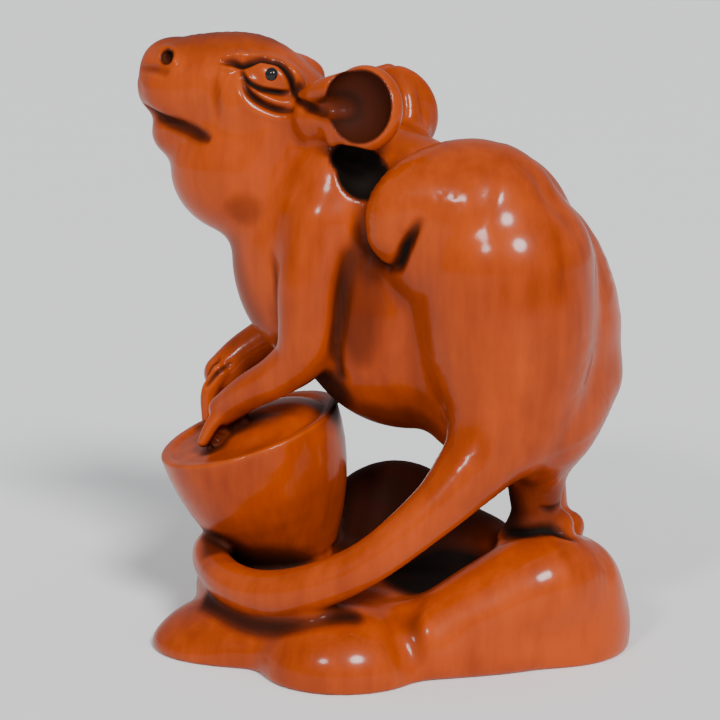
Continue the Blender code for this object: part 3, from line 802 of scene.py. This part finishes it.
@dataclass
class Skin:
    """The carving's surface while it is worked.

    A probe is how far above the surface wood is looked for, and its share of the hollowness.
    """

    wood: Block
    mesh: bpy.types.Mesh
    longest_pull: float = 0.3
    split_ratio: float = 1.45
    margin: float = 0.4
    probes: tuple[tuple[float, float], ...] = ((0.35, 0.25), (0.8, 0.29), (1.6, 0.24), (3.2, 0.15))

    def settle(self, rounds: int, ease: float, chosen: np.ndarray | None = None) -> None:
        """Pull vertices onto the wood's surface and even out their spacing.

        Args:
            rounds: How many times it is done.
            ease: How far a vertex slides to the middle of its neighbours, from 0 to 1.
            chosen: Which vertices move, or None for all.
        """
        pairs, count = tidy_neighbours(self.mesh)
        points = read_points(self.mesh)
        moved = np.arange(len(points)) if chosen is None else np.flatnonzero(chosen)
        for turn in range(rounds):
            here = self.wood.distance(points[moved])
            slope = self.wood.slope(points[moved], here)
            steep = np.maximum((slope ** 2).sum(axis=1), LEAST_SLOPE)
            points[moved] -= np.clip(here / steep, -self.longest_pull, self.longest_pull)[:, None] * slope
            if turn + 1 < rounds:
                drift = (beside(points, pairs, count) - points)[moved]
                normal = slope / np.sqrt(steep)[:, None]
                drift -= (drift * normal).sum(axis=1)[:, None] * normal
                points[moved] += ease * drift
        points[:, 2] = np.maximum(points[:, 2], 0.0)
        write_points(self.mesh, points)

    def refine(self, areas: Sequence[FineArea]) -> np.ndarray:
        """Split the edges that are too long for the areas they lie in.

        Args:
            areas: The areas with finer faces.

        Returns:
            Which vertices lie in an area.
        """
        work = bmesh.new()
        work.from_mesh(self.mesh)
        bmesh.ops.triangulate(work, faces=work.faces)
        work.to_mesh(self.mesh)
        points = read_points(self.mesh)
        wanted = np.full(len(points), FAR)
        for area in areas:
            gap = np.linalg.norm(points - np.array(area.centre), axis=1)
            wanted = np.minimum(wanted, np.where(gap < area.radius, area.edge, FAR))
        pairs, _ = tidy_neighbours(self.mesh)
        length = np.linalg.norm(points[pairs[:, 0]] - points[pairs[:, 1]], axis=1)
        limit = self.split_ratio * wanted[pairs].min(axis=1)
        long_edges = np.flatnonzero(length > limit)
        work.free()
        work = bmesh.new()
        work.from_mesh(self.mesh)
        work.edges.ensure_lookup_table()
        split = [work.edges[index] for index in long_edges]
        bmesh.ops.subdivide_edges(work, edges=split, cuts=1, use_grid_fill=True)
        bmesh.ops.triangulate(work, faces=work.faces)
        work.to_mesh(self.mesh)
        work.free()
        self.mesh.update()
        points = read_points(self.mesh)
        inside = np.zeros(len(points), bool)
        for area in areas:
            inside |= np.linalg.norm(points - np.array(area.centre), axis=1) < area.radius + self.margin
        return inside

    def cut_lines(self, lines: Sequence[Line]) -> np.ndarray:
        """Press the knife lines into the surface.

        Args:
            lines: The lines, whose stations are first dropped onto the surface.

        Returns:
            How dark each line paints each vertex: dark stain in the cut and painted shade of the groove.
        """
        dark_band_width = 1.15
        points = read_points(self.mesh)
        normal = read_normals(self.mesh)
        push = np.zeros(len(points))
        stain = np.zeros(len(points))
        for line in lines:
            path = smooth_line(line.stations, 5)
            for _ in range(3):
                height = self.wood.distance(path[:, :3])
                slope = self.wood.slope(path[:, :3], height)
                steep = np.maximum((slope ** 2).sum(axis=1), LEAST_SLOPE)
                path[:, :3] -= (height / steep)[:, None] * slope
            middle = (path[:, :3].min(axis=0) + path[:, :3].max(axis=0)) / 2.0
            within = np.linalg.norm(path[:, :3] - middle, axis=1).max() + 4.0 * line.width
            near = np.flatnonzero(np.linalg.norm(points - middle, axis=1) < within)
            gap, values = nearest_on_line(points[near], path)
            push[near] -= line.depth * np.exp(-(gap / line.width) ** 2) * values[:, 0]
            held = line.stain * np.exp(-(gap / (dark_band_width * line.width)) ** 2) * values[:, 0]
            stain[near] = np.maximum(stain[near], held)
        write_points(self.mesh, points + push[:, None] * normal)
        return stain

    def hollowness(self) -> np.ndarray:
        """Give how enclosed each vertex is, from 0 in the open to 1 in a deep hollow."""
        points = read_points(self.mesh)
        normal = read_normals(self.mesh)
        closed = np.zeros(len(points))
        for distance, share in self.probes:
            free = self.wood.distance(points + normal * distance)
            closed += share * np.clip(1.0 - free / distance, 0.0, 1.0)
        pairs, count = tidy_neighbours(self.mesh)
        return spread(np.clip(closed, 0.0, 1.0), pairs, count, 3)


class Socket:
    """A node's output that takes part in Python expressions."""

    def __init__(self, paint: "Paint", link: bpy.types.NodeSocket) -> None:
        """Wrap a node's output."""
        self.paint = paint
        self.link = link

    def _math(self, operation: str, *values: Any) -> "Socket":
        """Add a Math node."""
        return self.paint.node("ShaderNodeMath", {"operation": operation}, dict(enumerate(values)))

    def __add__(self, other: Any) -> "Socket":
        """Add."""
        return self._math("ADD", self, other)

    __radd__ = __add__

    def __sub__(self, other: Any) -> "Socket":
        """Subtract."""
        return self._math("SUBTRACT", self, other)

    def __rsub__(self, other: Any) -> "Socket":
        """Subtract from a number."""
        return self._math("SUBTRACT", other, self)

    def __mul__(self, other: Any) -> "Socket":
        """Multiply."""
        return self._math("MULTIPLY", self, other)

    __rmul__ = __mul__

    def clamped(self) -> "Socket":
        """Keep the value from 0 to 1."""
        return self._math("MINIMUM", self._math("MAXIMUM", self, 0.0), 1.0)

    def mapped(self, low: float, high: float, start: float = 0.0, end: float = 1.0) -> "Socket":
        """Map low to high onto start to end, kept inside them."""
        ends = {"Value": self, "From Min": low, "From Max": high, "To Min": start, "To Max": end}
        return self.paint.node("ShaderNodeMapRange", {"clamp": True}, ends)


class Paint:
    """A material under construction."""

    def __init__(self, name: str) -> None:
        """Start a node material with a Principled shader."""
        self.material = bpy.data.materials.new(name)
        self.material.use_nodes = True
        self.tree = self.material.node_tree
        self.shader = self.tree.nodes["Principled BSDF"]

    def node(self, kind: str, settings: dict[str, Any] | None = None, inputs: dict[Any, Any] | None = None,
             output: str | int = 0) -> Socket:
        """Add any node.

        Args:
            kind: The node's type.
            settings: Its settings; a list under "stops" sets a ramp's stops.
            inputs: Values or sockets, by the input's name or number.
            output: The output to give back.

        Returns:
            The chosen output.
        """
        made = self.tree.nodes.new(kind)
        for key, value in (settings or {}).items():
            if key == "stops":
                ramp = made.color_ramp.elements
                while len(ramp) < len(value):
                    ramp.new(0.5)
                for element, (place, colour) in zip(ramp, value):
                    element.position = place
                    element.color = colour
            else:
                setattr(made, key, value)
        for key, value in (inputs or {}).items():
            self.set_input(made.inputs[key], value)
        return Socket(self, made.outputs[output])

    def set_input(self, socket: bpy.types.NodeSocket, value: Any) -> None:
        """Link a socket or set its value."""
        if isinstance(value, Socket):
            self.tree.links.new(value.link, socket)
        else:
            socket.default_value = value

    def mixed(self, factor: Any, first: Any, second: Any, blend: str = "MIX") -> Socket:
        """Mix two colours."""
        return self.node("ShaderNodeMix", {"data_type": "RGBA", "blend_type": blend},
                         {0: factor, 6: first, 7: second}, 2)

    def attribute(self, name: str) -> Socket:
        """Read a number stored on the surface."""
        return self.node("ShaderNodeAttribute", {"attribute_name": name}, output="Fac")

    def place(self, scale: Triple, turn: Triple = (0.0, 0.0, 0.0)) -> Socket:
        """Give the object's own coordinates, stretched and turned."""
        own = self.node("ShaderNodeTexCoord", output="Object")
        return self.node("ShaderNodeMapping", inputs={"Vector": own, "Rotation": turn, "Scale": scale})

    def noise(self, where: Socket, scale: float, detail: float = 4.0, rough: float = 0.55) -> Socket:
        """Give a noise from 0 to 1."""
        inputs = {"Vector": where, "Scale": scale, "Detail": detail, "Roughness": rough}
        return self.node("ShaderNodeTexNoise", inputs=inputs)

    def finish(self, **inputs: Any) -> bpy.types.Material:
        """Set the shader's sockets, with spaces written as underscores, and give the material."""
        for key, value in inputs.items():
            self.set_input(self.shader.inputs[key.replace("_", " ")], value)
        return self.material


@dataclass(frozen=True)
class PolishedBoxwood:
    """Boxwood stained orange brown and rubbed to a gloss, with painted shade and dark stain in the cuts and
    hollows.
    """

    honey: Triple = (0.39, 0.049, 0.0012)
    russet: Triple = (0.19, 0.020, 0.0007)
    rubbed: Triple = (0.42, 0.068, 0.003)
    pore: Triple = (0.10, 0.01, 0.001)
    brown: Triple = (0.062, 0.0085, 0.002)
    darkest_shade_and_patina: Triple = (0.006, 0.0032, 0.0021)
    gloss: float = 0.34
    grain_lean: Triple = (0.0, 0.35, 0.0)

    def material(self) -> bpy.types.Material:
        """Make the material."""
        paint = Paint("polished_boxwood")
        own = paint.place((1.0, 1.0, 1.0))
        along = paint.place((1.0, 1.0, 0.16), self.grain_lean)
        cloud = paint.noise(own, 95.0, 3.0)
        figure = paint.noise(along, 620.0, 5.0, 0.6)
        pores = paint.noise(paint.place((1.0, 1.0, 0.3), self.grain_lean), 3600.0, 3.0, 0.6)
        stain = paint.attribute("stain")
        worn = paint.attribute("worn")
        tone = (cloud * 0.6 + figure * 0.4).mapped(0.32, 0.6)
        colour = paint.mixed(tone, (*self.russet, 1.0), (*self.honey, 1.0))
        colour = paint.mixed(worn * 0.45, colour, (*self.rubbed, 1.0))
        speck = pores.mapped(0.56, 0.78)
        colour = paint.mixed(speck * 0.1, colour, (*self.pore, 1.0))
        # Painted shade in hollows, creases and on sides turned from the lamps, with dark stain and patina,
        # all read from the surface: they turn the wood brown and then near black.
        patchy = (stain + (cloud - 0.5) * 0.3 * stain).clamped()
        colour = paint.mixed(patchy.mapped(0.08, 0.5) * 0.8, colour, (*self.brown, 1.0))
        colour = paint.mixed(patchy.mapped(0.45, 0.95), colour, (*self.darkest_shade_and_patina, 1.0))
        rough = (patchy * 0.35 + figure * 0.06 + self.gloss).clamped()
        height = figure * 0.3 + pores * 0.18 + cloud * 0.6
        bump = paint.node("ShaderNodeBump", inputs={"Strength": 0.22, "Distance": 0.00012, "Height": height})
        coat = (1.0 - patchy * 1.3).clamped() * 0.3
        return paint.finish(Base_Color=colour, Roughness=rough, Normal=bump, Coat_Weight=coat,
                            Coat_Roughness=0.14, Specular_IOR_Level=0.08)


@dataclass(frozen=True)
class BlackInlay:
    """The glossy black of the eye inlays."""

    dark: Triple = (0.004, 0.0035, 0.004)
    light: Triple = (0.014, 0.011, 0.012)

    def material(self) -> bpy.types.Material:
        """Make the material."""
        paint = Paint("black_inlay")
        where = paint.place((1.0, 1.0, 1.0))
        haze = paint.noise(where, 2400.0, 3.0)
        colour = paint.mixed(haze.mapped(0.3, 0.7), (*self.dark, 1.0), (*self.light, 1.0))
        bump = paint.node("ShaderNodeBump", inputs={"Strength": 0.08, "Distance": 0.00002, "Height": haze})
        return paint.finish(Base_Color=colour, Roughness=haze * 0.06 + 0.05, Normal=bump, Coat_Weight=0.2,
                            Coat_Roughness=0.04, Specular_IOR_Level=0.25)


@dataclass
class BoxwoodCarving:
    """The whole carving as one piece of wood."""

    rocks: Rocks = field(default_factory=Rocks)
    tub: Tub = field(default_factory=Tub)
    trunk: Trunk = field(default_factory=Trunk)
    legs: Legs = field(default_factory=Legs)
    head: Head = field(default_factory=Head)
    lines: KnifeLines = field(default_factory=KnifeLines)
    face_size: float = 0.38
    plug_place: Triple = (-9.6, 3.95, 45.4)
    plug_radius: float = 1.15
    limb_share: float = 0.92
    rim_areas: int = 32

    def wood(self) -> Block:
        """Give the blended form of the whole carving."""
        wood = Block()
        self.rocks.carve(wood)
        self.tub.carve(wood)
        self.trunk.carve(wood)
        self.head.carve(wood)
        self.legs.carve_hind(wood)
        self.legs.carve_fore(wood)
        self.trunk.carve_tail(wood)
        self.head.carve_ears(wood)
        self.head.carve_face(wood)
        return wood

    def areas(self) -> list[FineArea]:
        """Give the areas with finer faces."""
        paired = [
            FineArea((-10.4, -4.0, 45.2), 3.6, 0.11),
            FineArea((-19.0, -2.4, 46.3), 2.2, 0.12),
            FineArea((-20.2, -1.6, 43.6), 2.0, 0.15),
            FineArea((-16.6, -3.6, 41.3), 2.6, 0.14),
            FineArea((-6.2, -5.6, 43.4), 1.8, 0.14),
            FineArea((-2.0, -6.2, 43.0), 4.3, 0.17),
        ]
        single = [
            FineArea((1.8, -9.2, 32.8), 3.4, 0.17),
            FineArea((-14.6, -3.3, 17.3), 2.6, 0.14),
            FineArea((12.2, -2.6, 10.8), 3.0, 0.18),
            FineArea((-16.8, 2.0, 19.0), 3.2, 0.16),
            FineArea((7.6, -1.5, 6.8), 2.2, 0.18),
            FineArea((7.6, 4.4, 6.8), 2.2, 0.18),
        ]
        axes = turned_about(self.tub.lean)
        for step in range(self.rim_areas):
            angle = math.tau * step / self.rim_areas
            spot = axes @ (np.array((math.cos(angle), math.sin(angle), 0.0)) * self.tub.rim)
            single.append(FineArea(tuple(np.array(self.tub.place) + spot), 1.1, 0.17))
        return on_both_sides(paired) + single

    def rough_skin(self, fresh: Sequence[Limb]) -> bpy.types.Mesh:
        """Copy the frame's solid with its eye sockets plugged and lay even faces over it.

        Args:
            fresh: Limbs that the solid doesn't have.

        Returns:
            The rough skin's mesh.
        """
        work = bmesh.new()
        work.from_mesh(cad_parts["boxwood_carving"].data)
        bmesh.ops.remove_doubles(work, verts=work.verts, dist=1e-6)
        x, y, z = self.plug_place
        for side in Side:
            place = Matrix.Translation(Vector((x, y * side.value, z)) * MM)
            bmesh.ops.create_uvsphere(work, u_segments=20, v_segments=12, radius=self.plug_radius * MM,
                                      matrix=place)
        for limb in fresh:
            for *centre, radius in limb.line():
                place = Matrix.Translation(Vector(centre) * MM)
                bmesh.ops.create_icosphere(work, subdivisions=2, radius=self.limb_share * radius * MM,
                                           matrix=place)
        rough = placed("carving_rough", finished_mesh("carving_rough", work))
        skin = rough.modifiers.new("Even faces", "REMESH")
        skin.mode = "VOXEL"
        skin.voxel_size = self.face_size * MM
        bpy.context.view_layer.update()
        scene_now = bpy.context.evaluated_depsgraph_get()
        result = bpy.data.meshes.new_from_object(rough.evaluated_get(scene_now))
        bpy.data.objects.remove(rough)
        return result

    def build(self) -> bpy.types.Object:
        """Make the finished piece."""
        wood = self.wood()
        skin = Skin(wood, self.rough_skin(wood.fresh))
        log.info("rough skin: %d faces", len(skin.mesh.polygons))
        skin.settle(6, 0.5)
        for _ in range(2):
            inside = skin.refine(self.areas())
            skin.settle(3, 0.5, inside)
        log.info("settled: %d faces", len(skin.mesh.polygons))
        hollow = skin.hollowness()
        stain = skin.cut_lines(self.lines.both_sides() + self.lines.single())
        self.store(skin.mesh, hollow, stain)
        skin.mesh.name = "rat_netsuke"
        skin.mesh.shade_smooth()
        piece = placed("rat_netsuke", skin.mesh)
        skin.mesh.materials.clear()
        skin.mesh.materials.append(PolishedBoxwood().material())
        log.info("carving: %d triangles", len(skin.mesh.polygons))
        return piece

    def store(self, mesh: bpy.types.Mesh, hollow: np.ndarray, stain: np.ndarray) -> None:
        """Store the darkness and the wear on the ridges for the material: painted shade in the hollows, with
        the dark stain and painted shade of the knife lines and of the dark zones.

        Args:
            mesh: The finished mesh.
            hollow: How enclosed each vertex is.
            stain: How dark the knife lines paint each vertex, with dark stain in the cuts and painted shade
                in the grooves.
        """
        wear, wear_start = 1.4, 0.25
        open_up_to, closed_range = 0.28, 0.62
        points = read_points(mesh)
        pairs, count = tidy_neighbours(mesh)
        bulge = -((beside(points, pairs, count) - points) * read_normals(mesh)).sum(axis=1)
        length = np.linalg.norm(points[pairs[:, 0]] - points[pairs[:, 1]], axis=1)
        spacing = np.bincount(pairs.ravel(), np.repeat(length, 2), len(points)) / count
        worn = spread(np.clip(bulge / spacing ** 2 * wear - wear_start, 0.0, 1.0), pairs, count, 3)
        # Painted shade: the more enclosed a vertex is, the darker it is painted; the knife lines' darkness
        # is merged in.
        dark = np.maximum(np.clip((hollow - open_up_to) / closed_range, 0.0, 1.0), stain)
        # The dark zones add painted shade in recesses and on shadowed sides, and dark patina on the rock
        # behind.
        shade_and_patina = ShadeAndPatinaZones()
        for zone in shade_and_patina.both_sides() + shade_and_patina.single():
            dark = 1.0 - (1.0 - dark) * (1.0 - zone.amount(points))
        for name, values in (("stain", dark), ("worn", worn * (1.0 - dark))):
            layer = mesh.attributes.new(name, "FLOAT", "POINT")
            layer.data.foreach_set("value", values.astype(np.float32))


@dataclass
class EyeInlay:
    """One black inlay: a domed bead with a short peg that sits in the eye."""

    side: Side
    place: Triple = (-9.6, 4.2, 45.45)
    facing: Triple = (-0.12, 1.0, 0.18)
    outline: tuple[tuple[float, float], ...] = (
        (0.0, 0.42), (0.16, 0.405), (0.32, 0.355), (0.45, 0.265), (0.55, 0.13), (0.6, -0.05), (0.57, -0.2),
        (0.47, -0.3), (0.4, -0.34), (0.0, -0.34))

    def build(self) -> bpy.types.Object:
        """Make the finished piece."""
        name = "left_eye" if self.side is Side.LEFT else "right_eye"
        across = Vector((1.0, self.side.value, 1.0))
        work = bmesh.new()
        corners = [work.verts.new((radius * MM, 0.0, height * MM)) for radius, height in self.outline]
        edges = [work.edges.new((a, b)) for a, b in zip(corners, corners[1:])]
        bmesh.ops.spin(work, geom=corners + edges, cent=(0, 0, 0), axis=(0, 0, 1), angle=math.tau, steps=40,
                       use_merge=True)
        bmesh.ops.remove_doubles(work, verts=work.verts, dist=1e-7)
        bmesh.ops.recalc_face_normals(work, faces=work.faces)
        outwards = (Vector(self.facing) * across).to_track_quat("Z", "Y").to_matrix().to_4x4()
        place = Matrix.Translation(Vector(self.place) * across * MM)
        bmesh.ops.transform(work, matrix=place @ outwards, verts=work.verts)
        mesh = finished_mesh(name, work)
        mesh.shade_smooth()
        mesh.materials.append(BlackInlay().material())
        log.info("%s: %d faces", name, len(mesh.polygons))
        return placed(name, mesh)


@dataclass
class Studio:
    """The pale floor, the soft lights and the camera."""

    camera_place: Triple = (37.994, -155.420, 53.829)
    camera_target: Triple = (-2.656, -3.712, 23.3)
    lens: float = 101.9

    def floor(self) -> bpy.types.Object:
        """Make the plain pale floor."""
        work = bmesh.new()
        bmesh.ops.create_grid(work, x_segments=1, y_segments=1, size=3.0)
        mesh = finished_mesh("floor", work)
        paint = Paint("pale_floor")
        tint = paint.noise(paint.place((1.0, 1.0, 1.0)), 30.0, 3.0)
        colour = paint.mixed(tint, (0.86, 0.87, 0.88, 1.0), (0.9, 0.9, 0.9, 1.0))
        mesh.materials.append(paint.finish(Base_Color=colour, Roughness=0.7))
        floor = placed("floor", mesh)
        return floor

    def lamp(self, name: str, heading: float, height: float, spread_angle: float, power: float) -> None:
        """Add a far, soft light.

        Args:
            name: The light's name.
            heading: Where it stands, in degrees from +X towards +Y.
            height: How high it stands, in degrees above the floor.
            spread_angle: How wide it looks from the object, in degrees.
            power: Its power in watts a square metre.
        """
        light = bpy.data.lights.new(name, "SUN")
        light.angle = math.radians(spread_angle)
        light.energy = power
        lamp = placed(name, light)
        turn, rise = math.radians(heading), math.radians(height)
        towards = Vector((math.cos(rise) * math.cos(turn), math.cos(rise) * math.sin(turn), math.sin(rise)))
        lamp.location = towards * 0.4
        lamp.rotation_euler = (-towards).to_track_quat("-Z", "Y").to_euler()

    def build(self) -> None:
        """Make the stage."""
        self.floor()
        self.lamp("key", -54.0, 38.0, 15.0, 3.5)
        self.lamp("second", -104.0, 33.0, 9.0, 1.1)
        world = bpy.data.worlds.new("pale_room")
        world.use_nodes = True
        air = world.node_tree.nodes["Background"].inputs
        air["Color"].default_value = (0.95, 0.97, 1.0, 1.0)
        air["Strength"].default_value = 0.45
        bpy.context.scene.world = world
        camera = placed("camera", bpy.data.cameras.new("camera"))
        camera.data.sensor_width = 36.0
        camera.data.lens = self.lens
        camera.data.clip_start = 0.005
        camera.location = Vector(self.camera_place) * MM
        aim = (Vector(self.camera_target) - Vector(self.camera_place)) * MM
        camera.rotation_euler = aim.to_track_quat("-Z", "Y").to_euler()
        bpy.context.scene.camera = camera


def main() -> None:
    """Build the netsuke and the stage."""
    logging.basicConfig(level=logging.INFO, format="%(name)s: %(message)s")
    carving = BoxwoodCarving().build()
    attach(carving, "root")
    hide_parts("boxwood_carving")
    for side, node in ((Side.LEFT, "left_eye_inlay"), (Side.RIGHT, "right_eye_inlay")):
        eye = EyeInlay(side).build()
        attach(eye, "root")
        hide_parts(node)
    Studio().build()
    bpy.context.view_layer.update()


if __name__ == "__main__":
    main()
